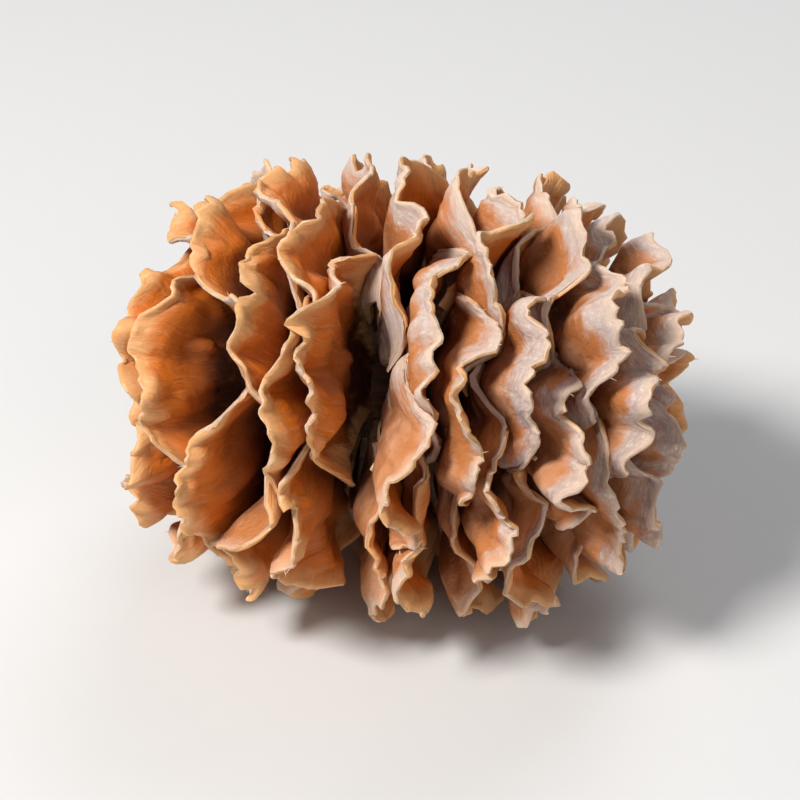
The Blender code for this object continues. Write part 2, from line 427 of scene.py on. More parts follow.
def blade_lift(scale, u, v, sizes):
    """How far the blade's sheet stands off its middle line: its cup, ruffles, pleats, unevenness and seed hollows."""
    path_s, _, path_r, _ = scale.path
    sideways = 0.5 * scale.width * fan_spread(v) * u
    across_mm = sideways / MM
    along_mm = v * scale.length / MM
    around = wrap(sideways, np.interp(v * (1.0 - outline_arch(u) * v), path_s, path_r))
    wave = np.sin(scale.waves * around + scale.phase)
    lift = scale.ruffle * smooth(v, *RUFFLE_REACH) * wave + scale.cup * v**CUP_POWER * (u * u - CUP_LEVEL)
    pleats = Waves(f"{scale.name} pleats", 7, 1.1, 3.2, PLEAT_SHARE)
    crumple = Waves(f"{scale.name} crumple", 9, 0.55, 1.5, CRUMPLE_SHARE)
    relief = Waves(f"{scale.name} relief", 5, 3.0, 7.0)
    lift = lift + sizes.crinkle * scale.size * smooth(v, *CRINKLE_REACH) * pleats.at(across_mm, along_mm)
    lift = lift + sizes.crumple * scale.size * smooth(v, *CRUMPLE_REACH) * crumple.at(across_mm, along_mm)
    lift = lift + sizes.relief * scale.size * smooth(v, 0.2, 0.7) * relief.at(across_mm, along_mm)
    hollow = np.exp(-(((np.abs(u) - 0.45) / 0.22) ** 2)) * smooth(v, 0.1, 0.4) * (1.0 - smooth(v, 0.7, 0.95))
    return lift - sizes.seed_hollow * scale.size * hollow


def blade_push(scale, u, v):
    """How far a blade is pushed along the axis off its neighbours, at the nearest points of its sheet."""
    if scale.pushed is None:
        return np.zeros_like(u)
    column = np.rint(np.interp(u, COLUMN_PLACES, np.arange(BLADE_COLUMNS + 1))).astype(int)
    row = np.rint(np.interp(v, ROW_PLACES, np.arange(BLADE_ROWS + 1))).astype(int)
    return scale.pushed[row, column]


def bend_blade(scale, u, v, sizes):
    """Bends a flat sheet into the middle sheet of one scale, and gives its places, thickness and finish values."""
    path_s, path_x, path_r, path_heading = scale.path
    spread = fan_spread(v)
    sideways = 0.5 * scale.width * spread * u
    across_mm = sideways / MM
    along_mm = v * scale.length / MM

    lobes = Waves(f"{scale.name} lobes", 3, 3.0, 6.0)
    nibbles = Waves(f"{scale.name} nibbles", 9, 0.45, 1.6)
    frayed = sizes.lobe_depth * lobes.at(across_mm, 0.0) + sizes.nibble_depth * nibbles.at(across_mm, 0.0)
    for notch in range(NOTCHES):
        place = (2.0 * fine_draw(scale.name, f"notch {notch}") - 1.0) * 0.8
        depth = sizes.notch_depth * fine_draw(scale.name, f"notch depth {notch}") ** 2
        frayed = frayed + depth * np.exp(-(((u - place) * 0.5 * scale.width / NOTCH_WIDTH) ** 2))
    frayed = np.clip(frayed, -0.0003, 0.0016) * scale.size / scale.length
    s = v * (1.0 - outline_arch(u) * v + scale.skew * u * v - frayed * v**FRAYING_POWER)
    s = np.clip(s, 0.0, PATH_REACH)
    x = np.interp(s, path_s, path_x)
    r = np.interp(s, path_s, path_r)
    heading = np.interp(s, path_s, path_heading)

    around = wrap(sideways, r)
    lift = blade_lift(scale, u, v, sizes)
    x = x + lift * np.sin(heading) + blade_push(scale, u, v)
    r = r - lift * np.cos(heading)
    angle = scale.turn + around
    places = np.stack([x, r * np.cos(angle), r * np.sin(angle)], axis=-1)
    places += (AXIS_SHIFT[0], AXIS_SHIFT[1], AXIS_HEIGHT)

    side_gap = (1.0 - np.abs(u)) * 0.5 * scale.width * spread
    edge = np.minimum(side_gap, (1.0 - v) * scale.length)
    rounding = np.sqrt(np.clip(1.0 - (1.0 - np.clip(edge / sizes.edge_radius, 0.0, 1.0)) ** 2, 0.0, 1.0))
    body = blend(sizes.root_thickness, sizes.margin_thickness, smooth(v, 0.3, 0.95))
    body *= blend(0.6, 1.0, min(1.0, scale.size))
    thickness = body * np.maximum(rounding, LEAST_ROUNDING)
    grain = np.stack([across_mm, along_mm, np.full_like(u, 40.0 * fine_draw(scale.name, "grain"))], axis=-1)
    own = fine_draw(scale.name, "age")
    shares = np.stack([v, edge / MM, np.full_like(u, own)], axis=-1)
    return places, thickness, grain, shares


def softened(field):
    """A field over a sheet, each value averaged with its neighbours."""
    for _ in range(PUSH_SOFTENING):
        wide = np.pad(field, 1, mode="edge")
        field = (wide[:-2, 1:-1] + wide[2:, 1:-1] + wide[1:-1, :-2] + wide[1:-1, 2:] + 2.0 * field) / 6.0
    return field


def part_scales(scales, sizes):
    """Pushes scales apart along the axis where one would pass through another.

    Each blade is noted on a map of the directions and distances from the axis, and where two blades share a place on
    it, each gives way by half of what they lack.
    """
    v, u = (grid.ravel() for grid in np.meshgrid(ROW_PLACES, COLUMN_PLACES, indexing="ij"))
    held = smooth(v, *PUSH_REACH)
    order = np.argsort([np.interp(0.9, scale.path[0], scale.path[1]) for scale in scales])
    ordered = [scales[k] for k in order]
    xs, cells = [], []
    for scale in ordered:
        places = bend_blade(scale, u, v, sizes)[0]
        y, z = places[:, 1] - AXIS_SHIFT[1], places[:, 2] - AXIS_HEIGHT
        direction = np.floor(np.arctan2(z, y) / MAP_ANGLE).astype(int) % MAP_DIRECTIONS
        distance = np.clip(np.hypot(y, z) / MAP_STEP, 0, MAP_DISTANCES - 1).astype(int)
        xs.append(places[:, 0])
        cells.append(direction * MAP_DISTANCES + distance)
    pushes = [np.zeros_like(u) for _ in ordered]
    for _ in range(PUSH_ROUNDS):
        maps = np.full((len(ordered), MAP_DIRECTIONS * MAP_DISTANCES), np.nan)
        for k, (x, cell, push) in enumerate(zip(xs, cells, pushes)):
            count = np.bincount(cell, minlength=maps.shape[1])
            total = np.bincount(cell, weights=x + push, minlength=maps.shape[1])
            maps[k] = np.where(count > 0, total / np.maximum(count, 1), np.nan)
        for k, (x, cell) in enumerate(zip(xs, cells)):
            here = x + pushes[k]
            below = np.nan_to_num(maps[:k, cell] + BLADE_GAP - here, nan=0.0).max(axis=0, initial=0.0)
            above = np.nan_to_num(here + BLADE_GAP - maps[k + 1 :, cell], nan=0.0).max(axis=0, initial=0.0)
            give = np.clip(0.5 * (below - above), -PUSH_STEP, PUSH_STEP) * held
            soft = softened(give.reshape(BLADE_ROWS + 1, BLADE_COLUMNS + 1)).ravel()
            pushes[k] = np.clip(pushes[k] + soft, -MOST_PUSH, MOST_PUSH)
    for scale, push in zip(ordered, pushes):
        scale.pushed = push.reshape(BLADE_ROWS + 1, BLADE_COLUMNS + 1)


def settle(mesh):
    """Presses the lowest margins gently flat on the ground, where the cone's weight rests."""
    count = len(mesh.vertices)
    places = np.empty(count * 3)
    mesh.vertices.foreach_get("co", places)
    places = places.reshape(-1, 3)
    z = places[:, 2]
    share = np.clip((SETTLE_HEIGHT - z) / (SETTLE_HEIGHT - LOWEST_MARGIN), 0.0, 1.0)
    power = (SETTLE_HEIGHT - LOWEST_MARGIN) / SETTLE_HEIGHT
    places[:, 2] = np.where(z < SETTLE_HEIGHT, SETTLE_HEIGHT * (1.0 - share) ** power, z)
    mesh.vertices.foreach_set("co", places.ravel())
    mesh.update()


def put_down():
    """Leaves edit mode and deselects everything."""
    if bpy.context.object and bpy.context.object.mode != "OBJECT":
        bpy.ops.object.mode_set(mode="OBJECT")
    bpy.ops.object.select_all(action="DESELECT")


def pick(piece):
    """Makes one piece the only selected one, and the active one."""
    put_down()
    piece.select_set(True)
    bpy.context.view_layer.objects.active = piece


def hand_over(piece, finishes=()):
    """Gives a finished piece its finishes and its place in the frame."""
    for finish in finishes:
        piece.data.materials.append(finish)
    piece.data.name = piece.name
    pick(piece)
    bpy.ops.object.shade_smooth_by_angle(angle=SMOOTH_ANGLE)
    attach(piece, "root")
    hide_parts(CONE_NODE)
    put_down()


def flat_sheet(name, columns, rows):
    """A flat sheet of cells, two units across and two along."""
    put_down()
    bpy.ops.mesh.primitive_grid_add(x_subdivisions=columns, y_subdivisions=rows, size=2.0)
    sheet = bpy.context.active_object
    sheet.name = name
    return sheet


def write_values(mesh, name, kind, values):
    layer = mesh.attributes.new(name, kind, "POINT")
    layer.data.foreach_set("vector" if kind == "FLOAT_VECTOR" else "value", np.asarray(values, dtype=float).ravel())


def thicken(piece, thickest, finishes):
    """Gives a thin sheet its wall, as thick at each point as its own thickness value says."""
    mesh = piece.data
    for finish in finishes:
        mesh.materials.append(finish)
    values = np.empty(len(mesh.vertices))
    mesh.attributes["thickness"].data.foreach_get("value", values)
    levels = np.rint(np.clip(values / thickest, 0.0, 1.0) * WALL_LEVELS).astype(int)
    walls = piece.vertex_groups.new(name="wall")
    for level in range(WALL_LEVELS + 1):
        points = np.flatnonzero(levels == level)
        if len(points):
            walls.add(points.tolist(), level / WALL_LEVELS, "REPLACE")
    pick(piece)
    wall = piece.modifiers.new("Wall", "SOLIDIFY")
    wall.thickness = thickest
    wall.offset = 0.0
    wall.vertex_group = "wall"
    wall.thickness_vertex_group = 0.0
    wall.material_offset = 1
    wall.material_offset_rim = 2
    bpy.ops.object.modifier_apply(modifier=wall.name)
    piece.vertex_groups.clear()
    mesh = piece.data
    mesh.attributes.remove(mesh.attributes["thickness"])


def join_copies(name, copies):
    """Joins copies to one piece."""
    put_down()
    for copy in copies:
        copy.select_set(True)
    bpy.context.view_layer.objects.active = copies[0]
    bpy.ops.object.join()
    copies[0].name = name
    return copies[0]


def make_blades(name, scales, sizes, columns, rows, finishes):
    """Models scales as copies of one flat sheet, bends each, and joins them to one piece with a wall."""
    template = flat_sheet(f"{name}_sheet", columns, rows)
    u, v = sheet_shares(template.data, columns, rows)
    copies = []
    for scale in scales:
        copy = template.copy()
        copy.data = template.data.copy()
        bpy.context.collection.objects.link(copy)
        places, thickness, grain, shares = bend_blade(scale, u, v, sizes)
        copy.data.vertices.foreach_set("co", places.ravel())
        write_values(copy.data, "thickness", "FLOAT", thickness)
        write_values(copy.data, "grain_place", "FLOAT_VECTOR", grain)
        write_values(copy.data, "blade_shares", "FLOAT_VECTOR", shares)
        copies.append(copy)
    bpy.data.objects.remove(template)
    piece = join_copies(name, copies)
    thicken(piece, max(sizes.root_thickness, sizes.margin_thickness), finishes)
    settle(piece.data)
    return piece


def make_bracts(name, scales, sizes, finish):
    """Models the bract under each scale: a narrow papery strip with a long point."""
    template = flat_sheet(f"{name}_sheet", BRACT_COLUMNS, BRACT_ROWS)
    flat = np.empty(len(template.data.vertices) * 3)
    template.data.vertices.foreach_get("co", flat)
    u, v = flat.reshape(-1, 3)[:, 0], 0.5 * (flat.reshape(-1, 3)[:, 1] + 1.0)
    copies = []
    for scale in scales:
        draw = fine_draw(scale.name, "bract")
        reach = blend(0.45, 0.78, draw**2)
        width = sizes.bract_width * blend(0.45, 1.0, scale.size)
        path_s, path_x, path_r, path_heading = scale.path
        s = 0.04 + (reach - 0.04) * v
        x, r, heading = (np.interp(s, path_s, line) for line in (path_x, path_r, path_heading))
        taper = blend(1.0, 0.10, smooth(v, 0.35, 0.95)) * np.sqrt(np.clip((1.02 - v) / 0.12, 0.0, 1.0))
        sideways = 0.5 * width * u * taper + 0.0012 * (fine_draw(scale.name, "bract side") - 0.5) * v
        crease = Waves(f"{scale.name} bract", 4, 1.0, 3.0)
        beside = sideways / (0.5 * scale.width * fan_spread(s))
        lift = blade_lift(scale, beside, s, sizes) - BRACT_GAP
        lift = lift + 0.00010 * crease.at(sideways / MM, s * scale.length / MM) + 0.00010 * u * u
        x = x + lift * np.sin(heading) + blade_push(scale, beside, s)
        r = r - lift * np.cos(heading)
        angle = scale.turn + sideways / np.maximum(r, WRAP_RADIUS)
        places = np.stack([x, r * np.cos(angle), r * np.sin(angle)], axis=-1)
        places += (AXIS_SHIFT[0], AXIS_SHIFT[1], AXIS_HEIGHT)
        copy = template.copy()
        copy.data = template.data.copy()
        bpy.context.collection.objects.link(copy)
        copy.data.vertices.foreach_set("co", places.ravel())
        grain = np.stack([sideways / MM, s * scale.length / MM, np.full_like(u, 40.0 * draw)], axis=-1)
        write_values(copy.data, "thickness", "FLOAT", np.full_like(u, BRACT_THICKNESS))
        write_values(copy.data, "grain_place", "FLOAT_VECTOR", grain)
        write_values(copy.data, "blade_shares", "FLOAT_VECTOR", np.stack([v, v, np.full_like(u, draw)], axis=-1))
        copies.append(copy)
    bpy.data.objects.remove(template)
    piece = join_copies(name, copies)
    thicken(piece, BRACT_THICKNESS, [finish] * 3)
    settle(piece.data)
    return piece


def make_margin_fibres(name, scales, sizes):
    """Models the thin stiff fibres that stand out of the frayed margins."""
    put_down()
    fibres = []
    for scale in scales:
        draws = random.Random(f"fibres {scale.name}")
        count = draws.randint(0, MOST_FIBRES) if scale.size > 0.3 else 0
        for _ in range(count):
            u = np.full(2, draws.uniform(-0.9, 0.9))
            places = bend_blade(scale, u, np.array([0.95, 1.0]), sizes)[0]
            inner, margin = Vector(places[0]), Vector(places[1])
            if margin.z < 3.0 * SETTLE_HEIGHT:
                continue
            stray_way = Vector([draws.uniform(-0.6, 0.6) for _ in range(3)])
            way = ((margin - inner).normalized() + stray_way).normalized()
            length = draws.uniform(*FIBRE_LENGTHS)
            bpy.ops.mesh.primitive_cone_add(
                vertices=5,
                radius1=draws.uniform(*FIBRE_RADII),
                radius2=0.000008,
                depth=length,
                location=margin + way * (0.5 * length - FIBRE_SINK),
                rotation=way.to_track_quat("Z", "Y").to_euler(),
            )
            fibres.append(bpy.context.active_object)
            bpy.ops.object.transform_apply(location=True, rotation=True, scale=True)
            bpy.ops.object.select_all(action="DESELECT")
    return join_copies(name, fibres)


def turned_rod(name, stations, sides):
    """Extrudes and resizes a disc along X through each station of distance and radius."""
    put_down()
    start, first_radius = stations[0]
    centre_y, centre_z = AXIS_SHIFT[1], AXIS_HEIGHT
    bpy.ops.mesh.primitive_circle_add(
        vertices=sides,
        radius=first_radius,
        fill_type="NGON",
        location=(start + AXIS_SHIFT[0], centre_y, centre_z),
        rotation=(0.0, math.radians(90.0), 0.0),
    )
    rod = bpy.context.active_object
    rod.name = name
    bpy.ops.object.transform_apply(location=True, rotation=True, scale=True)
    bpy.ops.object.mode_set(mode="EDIT")
    bpy.ops.mesh.select_all(action="SELECT")
    place, radius = start, first_radius
    for next_place, next_radius in stations[1:]:
        bpy.ops.mesh.extrude_region_move(TRANSFORM_OT_translate={"value": (next_place - place, 0.0, 0.0)})
        ratio = next_radius / radius
        centre = (next_place + AXIS_SHIFT[0], centre_y, centre_z)
        bpy.ops.transform.resize(value=(1.0, ratio, ratio), center_override=centre)
        place, radius = next_place, next_radius
    bpy.ops.mesh.select_all(action="SELECT")
    bpy.ops.mesh.normals_make_consistent(inside=False)
    bpy.ops.object.mode_set(mode="OBJECT")
    return rod


def roughen(piece, height, length):
    """Raises lengthwise ridges and knobs on the bark."""
    knobs = Waves(f"{piece.name} knobs", 9, length, 3.0 * length, 0.6)
    for vertex in piece.data.vertices:
        y = vertex.co.y - AXIS_SHIFT[1]
        z = vertex.co.z - AXIS_HEIGHT
        radius = math.hypot(y, z)
        angle = math.atan2(z, y)
        grown = 1.0 + height * knobs.at(angle * 3.0, vertex.co.x / MM) / max(radius, 2.0 * height)
        vertex.co.y = AXIS_SHIFT[1] + y * grown
        vertex.co.z = AXIS_HEIGHT + z * grown


def make_stub(name, radius):
    """Models the stub of the stalk, whose torn end rises and falls from fibre to fibre."""
    rings = [(-0.0102, 1.35), (-0.0108, 1.22), (-0.0114, 1.10), (-0.0120, 1.02), (-0.0126, 0.98), (-0.0131, 0.97)]
    rings += [(-0.0136, 0.96), (-0.0139, 0.94), (-0.01395, 0.80), (-0.0139, 0.60), (-0.0138, 0.40), (-0.0138, 0.20)]
    stub = turned_rod(name, [(x, radius * share) for x, share in rings], STUB_SIDES)
    tears = Waves("torn stalk", 8, 0.35, 1.1)
    ribs = Waves("stalk ribs", 6, 0.5, 1.2)
    for vertex in stub.data.vertices:
        y = vertex.co.y - AXIS_SHIFT[1]
        z = vertex.co.z - AXIS_HEIGHT
        torn = float(smooth(-vertex.co.x, 0.0128, 0.0139))
        vertex.co.x += 0.00042 * torn * float(tears.at(y / MM, z / MM))
        grown = 1.0 + 0.05 * float(ribs.at(math.atan2(z, y) * 1.3, 0.1 * vertex.co.x / MM))
        vertex.co.y = AXIS_SHIFT[1] + y * grown
        vertex.co.z = AXIS_HEIGHT + z * grown
    for face in stub.data.polygons:
        face.material_index = int(face.center.x < -0.0134)
    return stub


def make_splinters(name, radius):
    """Models the fibres that stand out of the torn end as thin pointed slivers."""
    put_down()
    draws = random.Random("splinters")
    slivers = []
    for _ in range(SPLINTERS):
        length = draws.uniform(0.0008, 0.0018)
        reach = radius * math.sqrt(draws.random()) * 0.92
        angle = draws.uniform(0.0, 2.0 * math.pi)
        lean = draws.uniform(-0.25, 0.25)
        bpy.ops.mesh.primitive_cone_add(
            vertices=6,
            radius1=draws.uniform(0.00007, 0.00014),
            radius2=0.00002,
            depth=length,
            location=(
                -0.0134 - 0.5 * length + AXIS_SHIFT[0] + 0.0006,
                AXIS_SHIFT[1] + reach * math.cos(angle),
                AXIS_HEIGHT + reach * math.sin(angle),
            ),
            rotation=(lean, math.radians(-90.0) + lean * math.sin(angle), 0.0),
        )
        slivers.append(bpy.context.active_object)
        bpy.ops.object.transform_apply(location=True, rotation=True, scale=True)
        bpy.ops.object.select_all(action="DESELECT")
    return join_copies(name, slivers)


def finish_named(name, maker, context):
    """The finish of that name, made on its first use."""
    return bpy.data.materials.get(name) or maker(context.scene.larch_cone_colours)


def scale_finishes(context):
    return [
        finish_named("outer_face", outer_finish, context),
        finish_named("inner_face", inner_finish, context),
        finish_named("frayed_margin", margin_finish, context),
    ]


def outward(azimuth, elevation):
    """Direction from the cone to a viewer, azimuth 0 in front and 90 at the tip, both in degrees."""
    a, e = math.radians(azimuth), math.radians(elevation)
    return Vector((math.sin(a) * math.cos(e), -math.cos(a) * math.cos(e), math.sin(e)))


class Finish:
    """A procedural material, built node by node."""

    def __init__(self, name):
        self.material = bpy.data.materials.new(name)
        self.material.use_nodes = True
        self.tree = self.material.node_tree
        self.shader = self.tree.nodes["Principled BSDF"]

    def node(self, kind, values=None, links=None, **settings):
        """Adds a node with its settings, its socket values and the sockets that feed it."""
        made = self.tree.nodes.new(kind)
        for key, value in settings.items():
            setattr(made, key, value)
        for key, value in (values or {}).items():
            made.inputs[key].default_value = value
        for key, source in (links or {}).items():
            self.tree.links.new(source, made.inputs[key])
        return made

    def attribute(self, name):
        return self.node("ShaderNodeAttribute", attribute_name=name).outputs["Vector"]

    def stretched(self, place, scale):
        return self.node("ShaderNodeMapping", {"Scale": scale}, {"Vector": place}).outputs["Vector"]

    def noise(self, place, scale, detail=3.0, roughness=0.55):
        values = {"Scale": scale, "Detail": detail, "Roughness": roughness}
        return self.node("ShaderNodeTexNoise", values, {"Vector": place}).outputs["Fac"]

    def drifted(self, place, scale, amount):
        """The place shifted by a slow noise, so that what follows it wanders."""
        drift = self.node("ShaderNodeTexNoise", {"Scale": scale, "Detail": 2.0}, {"Vector": place}).outputs["Color"]
        made = self.node("ShaderNodeVectorMath", links={0: drift, 2: place}, operation="MULTIPLY_ADD")
        made.inputs[1].default_value = (amount, amount, amount)
        return made.outputs["Vector"]

    def math(self, operation, first, second=None, third=None, clamp=False):
        made = self.node("ShaderNodeMath", operation=operation, use_clamp=clamp)
        for socket, value in zip(made.inputs, (first, second, third)):
            if value is None:
                continue
            if isinstance(value, (int, float)):
                socket.default_value = value
            else:
                self.tree.links.new(value, socket)
        return made.outputs[0]

    def step(self, value, low, high):
        """Rises smoothly from 0 where the value is low to 1 where it is high."""
        values = {"From Min": low, "From Max": high}
        made = self.node("ShaderNodeMapRange", values, {"Value": value}, interpolation_type="SMOOTHSTEP")
        return made.outputs["Result"]

    def mix(self, share, first, second, blend_type="MIX"):
        made = self.node("ShaderNodeMix", data_type="RGBA", blend_type=blend_type)
        for socket, value in zip((made.inputs["Factor"], made.inputs["A"], made.inputs["B"]), (share, first, second)):
            self.feed(socket, value)
        return made.outputs["Result"]

    def feed(self, socket, value):
        if isinstance(value, (int, float)):
            socket.default_value = value
        elif isinstance(value, (tuple, list)) or hasattr(value, "foreach_get"):
            socket.default_value = tuple(value)[:3] + (1.0,)
        elif hasattr(value, "r"):
            socket.default_value = (value.r, value.g, value.b, 1.0)
        else:
            self.tree.links.new(value, socket)

    def ramp(self, share, stops):
        made = self.node("ShaderNodeValToRGB", links={"Fac": share})
        band = made.color_ramp
        band.interpolation = "EASE"
        while len(band.elements) < len(stops):
            band.elements.new(0.5)
        for element, (place, colour) in zip(band.elements, stops):
            element.position = place
        for element, (place, colour) in zip(band.elements, stops):
            element.color = tuple(colour)[:3] + (1.0,)
        return made.outputs["Color"]

    def bump(self, height, strength, distance):
        made = self.node("ShaderNodeBump", {"Strength": strength, "Distance": distance}, {"Height": height})
        self.tree.links.new(made.outputs["Normal"], self.shader.inputs["Normal"])

    def close(self, colour, roughness):
        """Joins the colour and roughness to the shader."""
        self.feed(self.shader.inputs["Base Color"], colour)
        self.feed(self.shader.inputs["Roughness"], roughness)
        return self.material


def shade(colour, factor):
    return tuple(min(1.0, channel * factor) for channel in tuple(colour)[:3])


def inner_finish(colours):
    """The smooth face that carries the seeds: dark deep inside as painted shade between the scales, glowing orange, and
    pale ochre at the margin.
    """
    finish = Finish("inner_face")
    place = finish.attribute("grain_place")
    split = finish.node("ShaderNodeSeparateXYZ", links={"Vector": finish.attribute("blade_shares")})
    along, edge, age = split.outputs["X"], split.outputs["Y"], split.outputs["Z"]
    on_cone = finish.node("ShaderNodeTexCoord").outputs["Object"]
    cone = finish.node("ShaderNodeSeparateXYZ", links={"Vector": on_cone})
    drifted = finish.drifted(place, 0.45, 1.3)
    clouds = finish.noise(place, 0.26, 3.0)
    mottle = finish.noise(place, 1.1, 4.0, 0.6)
    streaks = finish.noise(finish.stretched(drifted, (1.9, 0.22, 1.0)), 1.0, 5.0, 0.62)
    hairs = finish.noise(finish.stretched(drifted, (8.0, 0.6, 1.0)), 1.0, 3.0, 0.6)
    shifted = finish.math("MULTIPLY_ADD", clouds, 0.40, finish.math("SUBTRACT", along, 0.20))
    # Painted shade: the colour falls to near black towards the roots, deep between the scales, and rises to orange and
    # paler ochre at the margin.
    wood = finish.ramp(shifted, [
        (0.40, colours.inner_painted_shade),
        (0.62, blend(np.array(colours.inner_painted_shade), np.array(colours.inner_orange), 0.45)),
        (0.83, colours.inner_orange),
        (1.00, blend(np.array(colours.inner_orange), np.array(colours.inner_pale), 0.40)),
    ])
    tipward = finish.step(cone.outputs["X"], -0.006, 0.012)
    duller = finish.math("MULTIPLY_ADD", age, 0.45, finish.math("MULTIPLY", tipward, 0.45))
    wood = finish.mix(duller, wood, colours.inner_brown, "MULTIPLY")
    dark = finish.math("MULTIPLY", finish.step(streaks, 0.48, 0.74), 0.50)
    wood = finish.mix(dark, wood, shade(colours.inner_orange, 0.35))
    blotch = finish.math("MULTIPLY", finish.step(mottle, 0.52, 0.72), 0.30)
    wood = finish.mix(blotch, wood, shade(colours.inner_orange, 0.55))
    light = finish.math("MULTIPLY", finish.step(hairs, 0.52, 0.72), 0.28)
    wood = finish.mix(finish.math("MULTIPLY", light, finish.step(shifted, 0.50, 0.85)), wood, colours.inner_pale)
    ragged = finish.math("MULTIPLY_ADD", mottle, -2.4, finish.math("MULTIPLY_ADD", hairs, -0.6, edge))
    ragged = finish.math("MULTIPLY_ADD", clouds, 2.2, finish.math("SUBTRACT", ragged, 1.0))
    lip = finish.math("SUBTRACT", 1.0, finish.step(ragged, -1.3, 0.1))
    wood = finish.mix(finish.math("MULTIPLY", lip, 0.75), wood, colours.inner_pale)
    height = finish.math("MULTIPLY_ADD", hairs, 0.6, finish.math("MULTIPLY_ADD", mottle, 0.8, streaks))
    finish.bump(height, 0.65, 0.00016)
    glints = finish.step(finish.noise(place, 1.9, 3.0, 0.6), 0.56, 0.66)
    roughness = finish.math("MULTIPLY_ADD", glints, -0.20, finish.math("MULTIPLY_ADD", clouds, 0.20, 0.40))
    finish.shader.inputs["Specular IOR Level"].default_value = 0.5
    return finish.close(wood, roughness)


def outer_finish(colours):
    """The outer face: red-brown low down, darkened there by painted shade deep between the scales, then pinkish tan,
    and weathered grey and white behind the margin, painted greyer and whiter on the top of the cone as painted light.
    """
    finish = Finish("outer_face")
    place = finish.attribute("grain_place")
    split = finish.node("ShaderNodeSeparateXYZ", links={"Vector": finish.attribute("blade_shares")})
    along, edge, age = split.outputs["X"], split.outputs["Y"], split.outputs["Z"]
    on_cone = finish.node("ShaderNodeTexCoord").outputs["Object"]
    cone = finish.node("ShaderNodeSeparateXYZ", links={"Vector": on_cone})
    drifted = finish.drifted(place, 0.5, 1.4)
    clouds = finish.noise(place, 0.34, 4.0, 0.62)
    patches = finish.noise(drifted, 0.85, 5.0, 0.68)
    streaks = finish.noise(finish.stretched(drifted, (1.7, 0.32, 1.0)), 1.0, 4.0, 0.6)
    grains = finish.noise(place, 3.6, 5.0, 0.72)
    # Partly the real red-brown low on the face and partly painted shade: darkest towards the roots, deep between the
    # scales.
    wood = finish.ramp(along, [
        (0.42, colours.outer_red_brown_and_shade),
        (0.68, blend(np.array(colours.outer_red_brown_and_shade), np.array(colours.outer_tan), 0.42)),
        (0.87, colours.outer_tan),
        (1.00, blend(np.array(colours.outer_tan), np.array(colours.outer_pink), 0.7)),
    ])
    rosy = finish.math("MULTIPLY", finish.step(clouds, 0.42, 0.66), 0.6)
    wood = finish.mix(rosy, wood, finish.mix(finish.step(along, 0.35, 0.75), colours.outer_red_brown_and_shade, colours.outer_pink))
    dark = finish.math("MULTIPLY", finish.step(streaks, 0.52, 0.78), 0.45)
    wood = finish.mix(dark, wood, shade(colours.outer_red_brown_and_shade, 1.6))
    tipward = finish.step(cone.outputs["X"], -0.010, 0.013)
    # Painted light: the faces on the top of the cone are painted greyer and whiter, and the weathered band is painted
    # to reach further there.
    painted_top_light = finish.step(cone.outputs["Z"], 0.009, 0.024)
    reach = finish.math("MULTIPLY_ADD", edge, -0.20, 0.40)
    reach = finish.math("MULTIPLY_ADD", tipward, 0.20, reach)
    reach = finish.math("MULTIPLY_ADD", painted_top_light, 0.26, reach)
    reach = finish.math("MULTIPLY_ADD", age, 0.20, reach)
    reach = finish.math("MULTIPLY_ADD", clouds, 0.90, reach)
    reach = finish.math("MULTIPLY_ADD", patches, 0.80, reach)
    weather_and_top_light = finish.step(reach, 1.27, 1.58)
    grey = finish.mix(finish.step(patches, 0.40, 0.62), colours.weathered_lilac, colours.weathered_grey)
    chalk = finish.math("MULTIPLY", finish.step(grains, 0.47, 0.66), 0.80)
    grey = finish.mix(chalk, grey, colours.weathered_pale)
    # Painted light: whiter on the top of the cone.
    grey = finish.mix(finish.math("MULTIPLY", painted_top_light, 0.45), grey, colours.weathered_pale)
    wood = finish.mix(finish.math("MULTIPLY", weather_and_top_light, 0.86), wood, grey)
    specks = finish.math("MULTIPLY", finish.step(grains, 0.60, 0.74), 0.55)
    wood = finish.mix(finish.math("MULTIPLY", specks, finish.step(along, 0.6, 0.9)), wood, colours.weathered_pale)
    ragged = finish.math("MULTIPLY_ADD", patches, -1.6, edge)
    lip = finish.math("SUBTRACT", 1.0, finish.step(ragged, -0.85, 0.20))
    wood = finish.mix(finish.math("MULTIPLY", lip, 0.45), wood, colours.margin_cream)
    height = finish.math("MULTIPLY_ADD", grains, 0.55, finish.math("MULTIPLY_ADD", patches, 0.9, streaks))
    finish.bump(height, 0.85, 0.00018)
    roughness = finish.math("MULTIPLY_ADD", weather_and_top_light, 0.28, 0.56)
    finish.shader.inputs["Specular IOR Level"].default_value = 0.35
    return finish.close(wood, roughness)


def margin_finish(colours):
    """The frayed edge all round a scale, cream where it is worn and orange-brown between."""
    finish = Finish("frayed_margin")
    place = finish.attribute("grain_place")
    worn = finish.noise(place, 0.8, 4.0, 0.65)
    fibres = finish.noise(place, 3.0, 4.0, 0.65)
    pale = finish.mix(finish.step(fibres, 0.35, 0.68), shade(colours.margin_cream, 0.66), colours.margin_cream)
    wood = finish.mix(finish.step(worn, 0.40, 0.60), shade(colours.inner_pale, 0.62), pale)
    finish.bump(fibres, 0.7, 0.0001)
    return finish.close(wood, finish.math("MULTIPLY_ADD", fibres, 0.2, 0.55))


def fibre_finish(colours):
    """The stiff pale fibres at the margins."""
    finish = Finish("pale_fibre")
    place = finish.node("ShaderNodeTexCoord").outputs["Object"]
    tone = finish.noise(place, 700.0, 2.0)
    wood = finish.mix(tone, shade(colours.margin_cream, 0.75), shade(colours.weathered_pale, 1.1))
    return finish.close(wood, 0.5)


